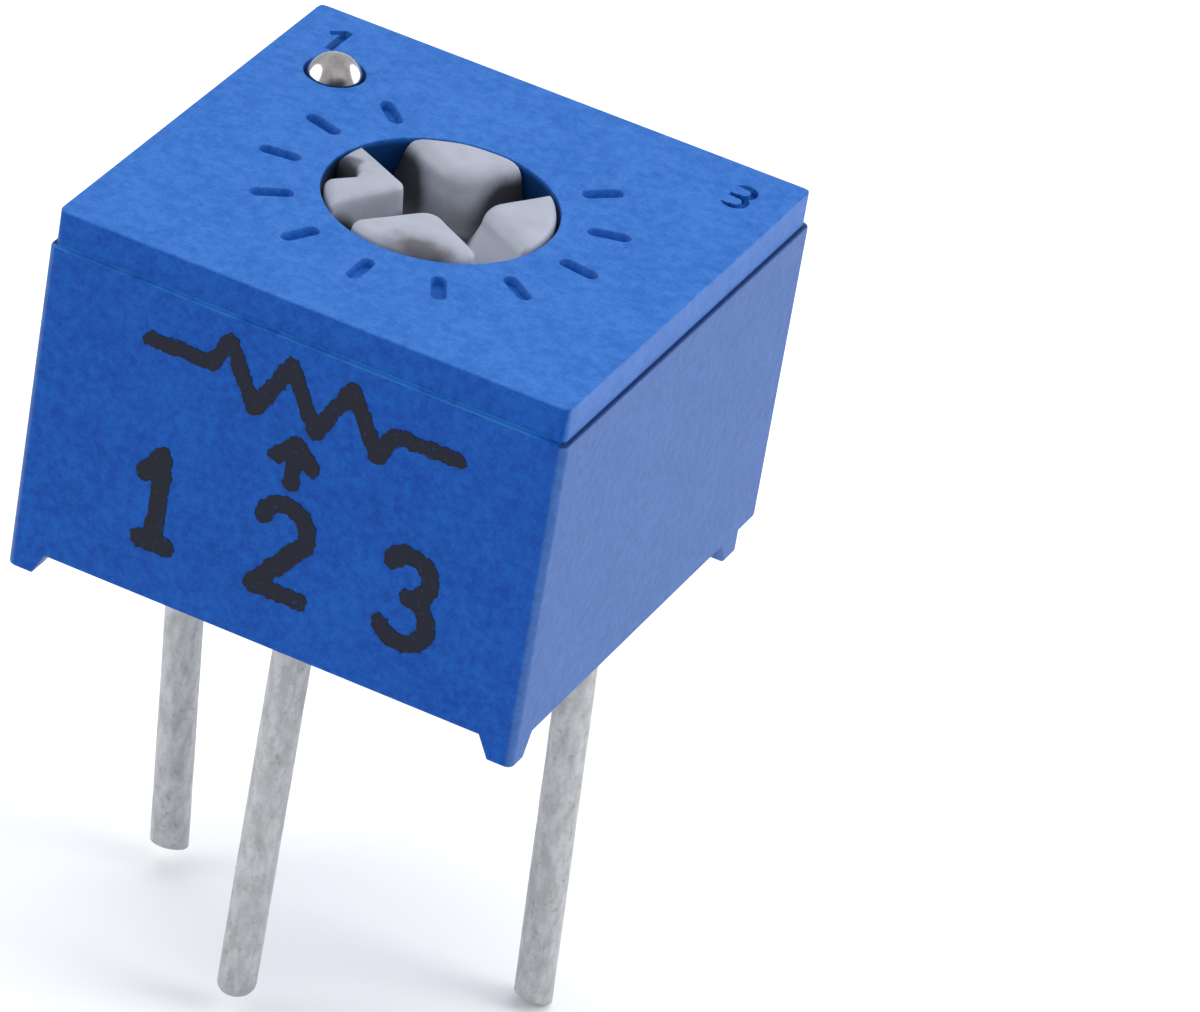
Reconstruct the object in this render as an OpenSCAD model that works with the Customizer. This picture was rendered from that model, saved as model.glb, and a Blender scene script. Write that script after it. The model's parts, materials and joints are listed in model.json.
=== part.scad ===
// Single-turn cermet trimmer potentiometer: a sealed square case with a cross-slotted rotor
// in its top, four small feet and three wire leads below.
// Millimetres. +Z is up, out of the rotor. The origin is on the rotor's axis, on the board
// that the feet stand on. The front is -Y, where the middle lead is.

/* [Case] */
// Width of the case, left to right
case_w = 7.0; // [7.0:0.05:7.4]
// Depth of the case, front to back
case_d = 6.7; // [6.7:0.05:7.1]
// Height of the case, from its bottom edge to its top
case_h = 4.75; // [4.6:0.05:5.2]
// Thickness of the side walls
wall = 0.5; // [0.4:0.02:0.5]
// Thickness of the top
deck = 1.0; // [0.9:0.05:1.1]
// Height of the narrower band along the top
band_h = 0.48; // [0.3:0.02:0.6]
// Inset of that band on each side
band_inset = 0.05; // [0.02:0.01:0.08]
// Height of the feet
foot_h = 0.3; // [0.2:0.05:0.4]
// Inset of the two rear feet from the back of the case
rear_foot_inset = 0.5; // [0.2:0.05:0.6]

/* [Dial] */
// Number of marks round the rotor
mark_count = 11; // [7:2:13]
// Length of a mark
mark_len = 0.55; // [0.4:0.05:0.6]
// Width of a mark
mark_w = 0.2; // [0.14:0.02:0.24]
// Radius of the circle through the middles of the marks
mark_r = 2.08; // [2.04:0.02:2.3]
// Depth of the marks and the terminal numbers
mark_depth = 0.12; // [0.06:0.02:0.2]

/* [Rotor] */
// Diameter of the rotor's neck
rotor_d = 2.84; // [2.8:0.02:3.0]
// Radial clearance between the neck and the hole in the case
rotor_clearance = 0.05; // [0.02:0.01:0.09]
// Height of the rotor's face above the top of the case
rotor_proud = 0.04; // [0:0.01:0.1]
// Width of the cross slot
slot_w = 0.58; // [0.5:0.02:0.64]
// Depth of the cross slot
slot_depth = 0.68; // [0.4:0.02:0.7]
// Direction that the pointer notch faces at rest, in degrees from +X
pointer_angle = 195; // [136:1:404]
// Angle that the rotor turns through between its stops
turn = 270; // [240:5:280]

/* [Leads] */
// Diameter of the lead wire
lead_d = 0.5; // [0.4:0.02:0.52]
// Grid that the leads are attached on
grid = 2.54; // [2.5:0.02:2.54]

/* [Hidden] */
$fn = 64;
eps = 0.01;

// Levels, from the board up
edge_z = foot_h;
top_z = edge_z + case_h;
deck_z = top_z - deck;
potting_z = edge_z + 0.12;
ceramic_top = edge_z + 2.0;
ceramic_t = 0.7;
ceramic_z = ceramic_top - ceramic_t;
film_t = 0.03;
film_top = ceramic_top + film_t;

// The open inside of the case
inner_w = case_w - 2 * wall;
inner_d = case_d - 2 * wall;
post_w = 0.45;
post_d = 0.4;

// The seal ring, in a pocket under the top
neck_r = rotor_d / 2;
seal_cord = 0.5;
seal_play = 0.02;
seal_pocket = 0.35;
seal_r = neck_r + seal_play + seal_cord / 2;
seal_pocket_r = seal_r + seal_cord / 2 + seal_play;
seal_z = deck_z + seal_pocket - seal_cord / 2;

// The rotor's flange and its stops. The lug is in line with the pointer.
face_z = top_z + rotor_proud;
rim_chamfer = 0.14;
flange_r = 2.25;
flange_top = seal_z - seal_cord / 2 - seal_play;
flange_t = 0.7;
flange_z = flange_top - flange_t;
lug_r = 2.6;
lug_half = 13;
stop_play = 0.5;
stop_half = (360 - turn) / 2 - lug_half - stop_play;
stop_r = 2.35;
stop_angle = 90;
notch_r = 1.06;
notch_w = 0.66;
notch_depth = 0.5;

// The contact spring under the flange. Its outer fingers are opposite the pointer.
spring_t = 0.08;
spring_z = flange_z - spring_t;
spring_r = 1.42;
knuckle_r = 0.07;
contact_gap = 0.015;
finger_w = 0.13;
finger_run = 0.95;
finger_drop = spring_z - film_top - contact_gap;
outer_fingers = [1.58, 1.76, 1.94];
inner_fingers = [-0.1, 0.1];
stake_at = [-0.75, 0.7];
stake_r = 0.16;
stake_head_r = 0.27;
stake_head_t = 0.08;

// The printed films
track_in = 1.48;
track_out = 2.06;
track_end = 52;
pad_end = 63;
pad_r = 0.42;
collector_r = 0.72;

// The vent in the rear left corner, and the ball that closes it
vent_at = [-2.49, 1.89];
ball_r = 0.375;
vent_r = 0.39;
vent_seat_r = 0.22;
ball_z = top_z - 0.2;

// Each lead: its two bends, both inside the potting, and its end. The wire runs straight up
// from the first bend to its solder joint. The leads are splayed a little and cut by hand,
// so their ends aren't on the grid.
lead_r = lead_d / 2;
lead_top = film_top + 0.1;
bend_r = lead_r + 0.05;
collar_r = lead_r + 0.04;
collar_tip_r = lead_r + 0.03;
upper_bend_z = ceramic_z - 0.35;
lower_bend_z = potting_z + 0.35;
lead_1_path = [[-grid, 0, upper_bend_z], [-2.69, -0.2, lower_bend_z], [-2.27, -0.12, -5.42]];
lead_2_path = [[0, -grid, upper_bend_z], [0.05, -2.4, lower_bend_z], [-0.04, -2.38, -5.4]];
lead_3_path = [[grid, 0, upper_bend_z], [2.69, 0.16, lower_bend_z], [2.93, 0.13, -5.63]];
meniscus_z = edge_z - 0.08;
meniscus_r = 0.46;
lead_spots = [[-grid, 0], [0, -grid], [grid, 0]];
notch_play = 0.03;
solder_r = 0.38;
solder_h = 0.26;

// A round taper from one point to another
module taper(from, to, from_r, to_r) {
    v = to - from;
    translate(from)
        rotate([0, acos(v.z / norm(v)), atan2(v.y, v.x)])
            cylinder(h = norm(v), r1 = from_r, r2 = to_r);
}

module bar(from, to, r) {
    taper(from, to, r, r);
}

// A flat strip of thickness t in the XY plane, from one point to another
module strip(from, to, t) {
    v = to - from;
    translate(from)
        rotate(atan2(v.y, v.x))
            translate([0, -t / 2])
                square([norm(v), t]);
}

// A wedge round the origin, from angle a to angle b, which are under 180 degrees apart
module wedge(a, b, r) {
    polygon([[0, 0], for (i = [0:6]) let (t = a + (b - a) * i / 6) r * [cos(t), sin(t)]]);
}

module box(x0, x1, y0, y1, z0, z1) {
    translate([x0, y0, z0])
        cube([x1 - x0, y1 - y0, z1 - z0]);
}

// ---- Case ----

// A foot fills the corner at the origin, towards -X and -Y, and tapers on its two inner sides
module foot() {
    top = 0.5;
    tip = 0.34;
    intersection() {
        rotate([90, 0, 0])
            translate([0, 0, -1])
                linear_extrude(2)
                    polygon([[0, foot_h + eps], [0, 0], [-tip, 0], [-top, foot_h + eps]]);
        rotate([90, 0, 90])
            translate([0, 0, -1])
                linear_extrude(2)
                    polygon([[0, foot_h + eps], [0, 0], [-tip, 0], [-top, foot_h + eps]]);
    }
}

module feet() {
    for (side = [0, 1])
        mirror([side, 0, 0]) {
            translate([case_w / 2, -case_d / 2, 0])
                mirror([0, 1, 0])
                    foot();
            translate([case_w / 2, case_d / 2 - rear_foot_inset, 0])
                foot();
        }
}

// A mark is a slot with round ends, along X
module mark() {
    half = (mark_len - mark_w) / 2;
    square([2 * half, mark_w], center = true);
    for (x = [-half, half])
        translate([x, 0])
            circle(d = mark_w);
}

module dial_marks() {
    step = turn / (mark_count - 1);
    for (i = [0:mark_count - 1])
        rotate(stop_angle + (360 - turn) / 2 + i * step)
            translate([mark_r, 0])
                mark();
}

// The numbers of the two end terminals, 0.56 tall
module number_one() {
    square([0.12, 0.56], center = true);
    translate([-0.1, 0.17])
        rotate(40)
            square([0.2, 0.1], center = true);
}

module number_three() {
    for (y = [-0.13, 0.13])
        translate([0, y])
            difference() {
                circle(r = 0.18);
                circle(r = 0.08);
                translate([-0.3, -0.09])
                    square([0.26, 0.18]);
            }
}

module stop_block() {
    translate([0, 0, flange_z])
        linear_extrude(deck_z - flange_z + eps)
            intersection() {
                difference() {
                    wedge(stop_angle - stop_half, stop_angle + stop_half, 6);
                    circle(r = stop_r);
                }
                square([inner_w, inner_d + eps], center = true);
            }
}

module corner_posts() {
    for (sx = [0, 1], sy = [0, 1])
        mirror([sx, 0, 0])
            mirror([0, sy, 0])
                box(inner_w / 2 - post_w, inner_w / 2 + eps, inner_d / 2 - post_d,
                    inner_d / 2 + eps, ceramic_top, deck_z + eps);
}

module housing_shell() {
    difference() {
        union() {
            box(-case_w / 2, case_w / 2, -case_d / 2, case_d / 2, edge_z, top_z - band_h);
            box(-case_w / 2 + band_inset, case_w / 2 - band_inset,
                -case_d / 2 + band_inset, case_d / 2 - band_inset,
                top_z - band_h - eps, top_z);
            feet();
        }
        box(-inner_w / 2, inner_w / 2, -inner_d / 2, inner_d / 2, -1, deck_z);
        translate([0, 0, deck_z - eps])
            cylinder(h = seal_pocket + eps, r = seal_pocket_r);
        translate([0, 0, deck_z])
            cylinder(h = deck + 1, r = neck_r + rotor_clearance);
    }
}

module housing() {
    color([0.13, 0.36, 0.78])
        difference() {
            union() {
                housing_shell();
                stop_block();
                corner_posts();
            }
            translate([0, 0, top_z - mark_depth])
                linear_extrude(mark_depth + 1) {
                    dial_marks();
                    translate([-2.82, 2.6])
                        number_one();
                    translate([2.82, 2.55])
                        number_three();
                }
            translate([vent_at.x, vent_at.y, deck_z - eps])
                cylinder(h = deck + 1, r = vent_seat_r);
            translate([vent_at.x, vent_at.y, ball_z - sqrt(ball_r ^ 2 - vent_seat_r ^ 2)])
                cylinder(h = deck, r = vent_r);
        }
}

module vent_ball() {
    color([0.8, 0.8, 0.82])
        translate([vent_at.x, vent_at.y, ball_z])
            sphere(r = ball_r);
}

// ---- Rotor ----

// The cross slot, with its four inner corners cut back, and the pointer notch at +X
module cross_slot() {
    for (a = [45, 135])
        rotate(a)
            square([2 * neck_r + 1, slot_w], center = true);
    square(slot_w * sqrt(2) + 0.12, center = true);
}

module pointer_notch() {
    tip_r = 0.09;
    polygon([[notch_r, -tip_r], [notch_r, tip_r],
             [neck_r, notch_w / 2], [neck_r + 0.2, notch_w / 2],
             [neck_r + 0.2, -notch_w / 2], [neck_r, -notch_w / 2]]);
}

module stop_lug() {
    translate([0, 0, flange_z])
        linear_extrude(flange_t)
            intersection() {
                wedge(-lug_half, lug_half, lug_r + 1);
                circle(r = lug_r);
            }
}

module stakes() {
    for (side = [-1, 1])
        translate([stake_at.x, side * stake_at.y, 0]) {
            translate([0, 0, spring_z - eps])
                cylinder(h = spring_t + 2 * eps, r = stake_r);
            translate([0, 0, spring_z - stake_head_t])
                cylinder(h = stake_head_t, r1 = 0.2, r2 = stake_head_r);
        }
}

module rotor() {
    color([0.78, 0.77, 0.74])
        rotate(pointer_angle) {
            difference() {
                union() {
                    translate([0, 0, flange_z])
                        cylinder(h = face_z - rim_chamfer - flange_z, r = neck_r);
                    translate([0, 0, face_z - rim_chamfer])
                        cylinder(h = rim_chamfer, r1 = neck_r, r2 = neck_r - rim_chamfer);
                    translate([0, 0, flange_z])
                        cylinder(h = flange_t, r = flange_r);
                    stop_lug();
                }
                translate([0, 0, face_z - slot_depth])
                    linear_extrude(slot_depth + 1)
                        cross_slot();
                translate([0, 0, face_z - notch_depth])
                    linear_extrude(notch_depth + 1)
                        pointer_notch();
            }
            rotate(180)
                stakes();
        }
}

module rotor_seal() {
    color([0.72, 0.25, 0.16])
        translate([0, 0, seal_z])
            rotate_extrude()
                translate([seal_r, 0])
                    circle(d = seal_cord, $fn = 32);
}

// One finger along +Y from its root, with its knuckle on the film below y = 0
module finger(x) {
    root = [-finger_run, 0];
    knuckle = [0, -finger_drop + knuckle_r];
    translate([x - finger_w / 2, 0, spring_z])
        rotate([90, 0, 90])
            linear_extrude(finger_w) {
                strip(root + [0, spring_t / 2], knuckle, spring_t);
                strip(knuckle, knuckle + [0.2, 0.16], spring_t);
                translate(knuckle)
                    circle(r = knuckle_r, $fn = 24);
            }
}

// The flat of the spring: a round plate with a window for the inner fingers,
// two holes for the rotor's stakes and a tab that carries the outer fingers
module spring_plate() {
    translate([0, 0, spring_z])
        linear_extrude(spring_t)
            difference() {
                union() {
                    circle(r = spring_r);
                    translate([0.6, -finger_run - 0.25])
                        square([outer_fingers[2] + finger_w / 2 - 0.6, 0.3]);
                }
                translate([-0.2, -0.3])
                    square([0.4, finger_run + 0.25]);
                for (side = [-1, 1])
                    translate([stake_at.x, side * stake_at.y])
                        circle(r = stake_r + eps);
            }
}

module contact_spring() {
    color([0.85, 0.66, 0.34])
        rotate(pointer_angle + 180) {
            spring_plate();
            for (x = outer_fingers)
                finger(x);
            rotate(180)
                for (x = inner_fingers)
                    finger(x);
        }
}

// ---- Element ----

// The cut in the ceramic's edge that a lead passes through, at the lead's spot
module lead_notch(spot) {
    r = lead_r + notch_play;
    out = spot / norm(spot);
    translate(spot)
        rotate(atan2(out.y, out.x)) {
            circle(r = r);
            translate([0, -r])
                square([1, 2 * r]);
        }
}

module ceramic_outline() {
    square([inner_w - 0.1, inner_d - 0.1], center = true);
}

module ceramic_base() {
    color([0.93, 0.92, 0.88])
        translate([0, 0, ceramic_z])
            linear_extrude(ceramic_t)
                difference() {
                    ceramic_outline();
                    for (spot = lead_spots)
                        lead_notch(spot);
                }
}

// A printed film on the ceramic, cut back at its edge and round a lead
module film(spot) {
    translate([0, 0, ceramic_top])
        linear_extrude(film_t)
            difference() {
                intersection() {
                    children();
                    ceramic_outline();
                }
                lead_notch(spot);
            }
}

module resistive_track() {
    color([0.18, 0.16, 0.15])
        rotate(-track_end)
            rotate_extrude(angle = 180 + 2 * track_end)
                translate([track_in, ceramic_top])
                    square([track_out - track_in, film_t]);
}

module collector_pad() {
    color([0.75, 0.74, 0.7])
        film(lead_spots[1]) {
            circle(r = collector_r);
            translate([-0.3, -grid])
                square([0.6, grid]);
            translate(lead_spots[1])
                circle(r = pad_r);
        }
}

// The conductor from the right-hand end of the track to its lead
module end_pad_shape() {
    difference() {
        wedge(-pad_end, -track_end, 2.75);
        circle(r = track_in);
    }
    difference() {
        polygon([[1.15, -2.4], [2.1, -2.4], [2.72, -1.8], [2.72, 0], [2.3, 0],
                 [2.3, -1.5], [1.6, -1.9]]);
        circle(r = track_out + 0.06);
    }
    translate([grid, 0])
        circle(r = pad_r);
}

module end_pad_1() {
    color([0.75, 0.74, 0.7])
        film(lead_spots[0])
            mirror([1, 0, 0])
                end_pad_shape();
}

module end_pad_3() {
    color([0.75, 0.74, 0.7])
        film(lead_spots[2])
            end_pad_shape();
}

// ---- Leads ----

// The point on a lead's long straight at height z
function on_lead(path, z) =
    path[1] + (path[2] - path[1]) * (path[1].z - z) / (path[1].z - path[2].z);

// A lead: a knob at each bend, and a tapered collar on the stretch that the potting grips
module wire(path) {
    start = [path[0].x, path[0].y, lead_top];
    bar(start, path[0], lead_r);
    bar(path[0], path[1], lead_r);
    bar(path[1], path[2], lead_r);
    taper(path[1], on_lead(path, meniscus_z), collar_r, collar_tip_r);
    for (i = [0, 1])
        translate(path[i])
            sphere(r = bend_r);
}

module lead_1() {
    color([0.68, 0.68, 0.68])
        wire(lead_1_path);
}

module lead_2() {
    color([0.68, 0.68, 0.68])
        wire(lead_2_path);
}

module lead_3() {
    color([0.68, 0.68, 0.68])
        wire(lead_3_path);
}

// The drop of solder over a lead's end, on its pad
module solder_joint(spot) {
    color([0.8, 0.8, 0.8])
        translate([spot.x, spot.y, film_top])
            difference() {
                rotate_extrude()
                    polygon([[0, 0], [solder_r, 0], [0.33, 0.12], [0.2, 0.22], [0, solder_h]]);
                translate([0, 0, -eps])
                    cylinder(h = lead_top - film_top + eps, r = lead_r);
            }
}

module solder_joint_1() solder_joint(lead_spots[0]);
module solder_joint_2() solder_joint(lead_spots[1]);
module solder_joint_3() solder_joint(lead_spots[2]);

// The potting creeps a little way down each lead
module meniscus(path) {
    taper(on_lead(path, potting_z + 0.05), on_lead(path, meniscus_z),
          meniscus_r, collar_tip_r + 0.01);
}

module epoxy_seal() {
    color([0.1, 0.22, 0.5])
        difference() {
            union() {
                box(-inner_w / 2, inner_w / 2, -inner_d / 2, inner_d / 2, potting_z, ceramic_z);
                intersection() {
                    box(-inner_w / 2, inner_w / 2, -inner_d / 2, inner_d / 2, 0, ceramic_z);
                    union() {
                        meniscus(lead_1_path);
                        meniscus(lead_2_path);
                        meniscus(lead_3_path);
                    }
                }
            }
            wire(lead_1_path);
            wire(lead_2_path);
            wire(lead_3_path);
        }
}

housing();
vent_ball();
rotor();
rotor_seal();
contact_spring();
ceramic_base();
resistive_track();
collector_pad();
end_pad_1();
end_pad_3();
lead_1();
lead_2();
lead_3();
solder_joint_1();
solder_joint_2();
solder_joint_3();
epoxy_seal();
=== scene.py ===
import json
import math

import bmesh
import bpy
from mathutils import Matrix, Vector, noise


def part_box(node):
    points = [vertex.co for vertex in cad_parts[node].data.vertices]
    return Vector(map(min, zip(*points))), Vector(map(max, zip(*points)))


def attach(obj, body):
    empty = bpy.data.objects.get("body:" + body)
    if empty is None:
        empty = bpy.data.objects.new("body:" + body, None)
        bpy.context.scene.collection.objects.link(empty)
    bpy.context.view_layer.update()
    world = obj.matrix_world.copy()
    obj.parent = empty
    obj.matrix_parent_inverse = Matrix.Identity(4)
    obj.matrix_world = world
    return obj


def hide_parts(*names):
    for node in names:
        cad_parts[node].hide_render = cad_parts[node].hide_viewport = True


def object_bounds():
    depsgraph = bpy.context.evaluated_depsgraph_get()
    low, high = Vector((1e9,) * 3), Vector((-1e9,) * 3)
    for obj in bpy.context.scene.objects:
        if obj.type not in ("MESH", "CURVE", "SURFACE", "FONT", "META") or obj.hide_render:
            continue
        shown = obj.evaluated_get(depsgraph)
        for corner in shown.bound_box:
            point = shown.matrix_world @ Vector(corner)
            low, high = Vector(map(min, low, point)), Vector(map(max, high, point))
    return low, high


# Lengths in the settings are millimetres, unless a note says otherwise. A piece is shaped in
# millimetres and scaled to metres at the end.

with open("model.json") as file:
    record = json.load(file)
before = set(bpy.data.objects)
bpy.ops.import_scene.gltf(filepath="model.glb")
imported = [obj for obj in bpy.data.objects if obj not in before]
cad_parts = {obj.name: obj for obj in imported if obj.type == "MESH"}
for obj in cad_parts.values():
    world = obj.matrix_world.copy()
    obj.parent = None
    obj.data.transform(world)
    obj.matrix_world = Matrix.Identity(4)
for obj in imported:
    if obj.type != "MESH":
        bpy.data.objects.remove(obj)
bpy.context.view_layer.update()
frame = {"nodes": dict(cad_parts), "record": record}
nodes = frame["nodes"]
mounts = {m["name"]: m for m in frame["record"]["mounts"]}
mm = 0.001
proud = 0.06  # the rotor's crown and the ball stand this much above their CAD solids


def boxMm(node):
    low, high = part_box(node)
    return low / mm, high / mm


caseLow, caseHigh = boxMm("housing")
topZ = caseHigh.z
frontY = caseLow.y
rotorFace = boxMm("rotor")[1].z + proud
ballAt = sum(boxMm("vent_ball"), Vector()) / 2 + Vector((0, 0, proud))
print("frame loaded:", len(nodes), "nodes")


# Finishes

class Wire:
    def __init__(self, finish, socket):
        self.finish = finish
        self.socket = socket

    def maths(self, operation, *values):
        inputs = dict(enumerate(values))
        return self.finish.node("ShaderNodeMath", {"operation": operation}, inputs)

    def __add__(self, other):
        return self.maths("ADD", self, other)

    __radd__ = __add__

    def __mul__(self, other):
        return self.maths("MULTIPLY", self, other)

    __rmul__ = __mul__

    def __sub__(self, other):
        return self.maths("SUBTRACT", self, other)

    def __rsub__(self, other):
        return self.maths("SUBTRACT", other, self)

    def root(self):
        return self.maths("SQRT", self)

    def size(self):
        return self.maths("ABSOLUTE", self)

    def between(self, low, high):  # 0 at low, 1 at high, smooth on the way
        settings = {"interpolation_type": "SMOOTHSTEP", "clamp": True}
        inputs = {"Value": self, "From Min": low, "From Max": high}
        return self.finish.node("ShaderNodeMapRange", settings, inputs)


class Finish:
    def __init__(self, name):
        self.material = bpy.data.materials.new(name)
        self.material.use_nodes = True
        self.tree = self.material.node_tree
        self.tree.nodes.clear()
        self.surface = self.tree.nodes.new("ShaderNodeBsdfPrincipled")
        out = self.tree.nodes.new("ShaderNodeOutputMaterial")
        self.tree.links.new(self.surface.outputs[0], out.inputs["Surface"])
        self.place = self.node("ShaderNodeTexCoord", {}, {}, "Object")

    def node(self, kind, settings, inputs, output=0):
        made = self.tree.nodes.new(kind)
        for name, value in settings.items():
            setattr(made, name, value)
        for name, value in inputs.items():
            self.join(value, made.inputs[name])
        return Wire(self, made.outputs[output])

    def join(self, value, socket):
        if isinstance(value, Wire):
            self.tree.links.new(value.socket, socket)
        else:
            socket.default_value = value

    def noise(self, size, detail, rough, stretch=None):  # size is that of one spot
        place = self.place
        if stretch:
            place = self.node("ShaderNodeMapping", {}, {"Vector": place, "Scale": stretch})
        scale = 1 / (size * mm)
        inputs = {"Vector": place, "Scale": scale, "Detail": detail, "Roughness": rough}
        return self.node("ShaderNodeTexNoise", {}, inputs)

    def mix(self, share, low, high):
        low = low if isinstance(low, Wire) else (*low, 1)
        high = high if isinstance(high, Wire) else (*high, 1)
        inputs = {0: share, 6: low, 7: high}  # the factor and the two colours
        return self.node("ShaderNodeMix", {"data_type": "RGBA"}, inputs, 2)

    def axis(self, name):  # a coordinate in mm
        split = self.node("ShaderNodeSeparateXYZ", {}, {"Vector": self.place}, name)
        return split * (1 / mm)

    def shape(self, **values):
        for name, value in values.items():
            self.join(value, self.surface.inputs[name.replace("_", " ")])

    def bump(self, *layers):  # each is a height, its depth and its strength
        normal = None
        for height, depth, strength in layers:
            inputs = {"Height": height, "Distance": depth * mm, "Strength": strength}
            if normal:
                inputs["Normal"] = normal
            normal = self.node("ShaderNodeBump", {}, inputs)
        self.shape(Normal=normal)


def bluePlastic():
    look = {
        "deep": (0.001, 0.050, 0.30),
        "pale": (0.004, 0.090, 0.41),
        # Painted light: the top face, and half so its marks, gets the next two lighter colours
        "topDeep": (0.011, 0.100, 0.39),
        "topPale": (0.035, 0.150, 0.485),
        # Painted sheen on the left and right faces: the next pair on their upper band, the pair
        # after it below
        "bandDeep": (0.032, 0.125, 0.41),
        "bandPale": (0.058, 0.165, 0.50),
        "paintedSheenDeep": (0.033, 0.100, 0.322),
        "paintedSheenPale": (0.056, 0.142, 0.394),
        # painted shade in the ledge crease on the left and right faces
        "paintedCrease": (0.003, 0.028, 0.13),
        # painted highlight along the front ledge
        "ledgeHighlight": (0.02, 0.15, 0.48),
        "wellShade": (0.002, 0.020, 0.085),  # painted shade on the wall of the rotor's hole
        "wellShare": 0.9,
        "inMarks": 0.5,  # how much of the top's paler colour their walls and floors have
        "grain": 0.045,
        "flecks": 3,  # the size of a fleck, in grains
        "cloud": 0.6,
        "speckleShares": (0.4, 0.4, 0.2),  # of grain, fleck and cloud
        "speckleSpan": (0.34, 0.66),
        # Where each one fades in, out from the middle
        "paintedSheenSide": (3.39, 3.45),
        "creaseSide": (3.36, 3.42),
        "ledgeHighlightFront": (3.28, 3.30),
        "outerSide": (3.34, 3.38),
        "outerFront": (3.2, 3.23),
        "wellWall": (1.475, 1.505),
        # Where each one fades in, down from the top
        "topSpan": (0.03, 0.004),
        "wellSpan": (0.1, 0.01),
        "markSpan": (0.3, 0.12),
        "bandSpan": (0.5, 0.44),
        "creaseMiddle": 0.475,
        "creaseHalf": 0.03,
        "creaseRag": 0.02,
        "creaseFade": 0.015,
        "ledgeHighlightClouds": (0.3, 0.6),
        "rough": 0.36,
        "roughGrain": 0.2,
        "specular": 0.11,
        "sheen": 0.06,
        "sheenRough": 0.35,
    }
    f = Finish("bluePlastic")
    grain = f.noise(look["grain"], 3, 0.6)
    cloud = f.noise(look["cloud"], 3, 0.55)
    fleck = f.noise(look["grain"] * look["flecks"], 2, 0.5)
    x, y, z = f.axis("X"), f.axis("Y"), f.axis("Z")
    side, front = x.size(), y.size()
    ofGrain, ofFleck, ofCloud = look["speckleShares"]
    speckle = (grain * ofGrain + fleck * ofFleck + cloud * ofCloud).between(*look["speckleSpan"])

    def speckled(name):
        return f.mix(speckle, look[name + "Deep"], look[name + "Pale"])

    def down(name):
        low, high = look[name]
        return z.between(topZ - low, topZ - high)

    body = f.mix(speckle, look["deep"], look["pale"])
    # Painted sheen on the left and right faces, paler still on their upper band
    paintedSheen = f.mix(down("bandSpan"), speckled("paintedSheen"), speckled("band"))
    body = f.mix(side.between(*look["paintedSheenSide"]), body, paintedSheen)
    inner = (1 - side.between(*look["outerSide"])) * (1 - front.between(*look["outerFront"]))
    inMark = inner * down("markSpan")
    # Painted light: the top face is lighter than the sides, and its marks' walls and floors half
    # so
    upper = down("topSpan")
    body = f.mix(upper + (1 - upper) * inMark * look["inMarks"], body, speckled("top"))
    reach = look["creaseHalf"] + (grain - 0.5) * look["creaseRag"]
    # Painted shade in the ledge crease on the left and right faces
    paintedCrease = (reach - (z - (topZ - look["creaseMiddle"])).size()).between(0, look["creaseFade"])
    body = f.mix(paintedCrease * side.between(*look["creaseSide"]), body, look["paintedCrease"])
    # Painted highlight along the front ledge, broken up by the clouds
    ledgeHighlight = paintedCrease * front.between(*look["ledgeHighlightFront"]) * cloud.between(*look["ledgeHighlightClouds"])
    body = f.mix(ledgeHighlight, body, look["ledgeHighlight"])
    radius = (x * x + y * y).root()
    # Painted shade on the wall of the rotor's hole
    wellShade = (1 - radius.between(*look["wellWall"])) * (1 - down("wellSpan"))
    body = f.mix(wellShade * look["wellShare"], body, look["wellShade"])
    f.shape(Base_Color=body, Roughness=look["rough"] + grain * look["roughGrain"])
    f.shape(Specular_IOR_Level=look["specular"])
    f.shape(Sheen_Weight=look["sheen"], Sheen_Roughness=look["sheenRough"])
    f.bump((fleck, 0.02, 0.25), (grain, 0.01, 0.35))
    return f.material


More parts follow.
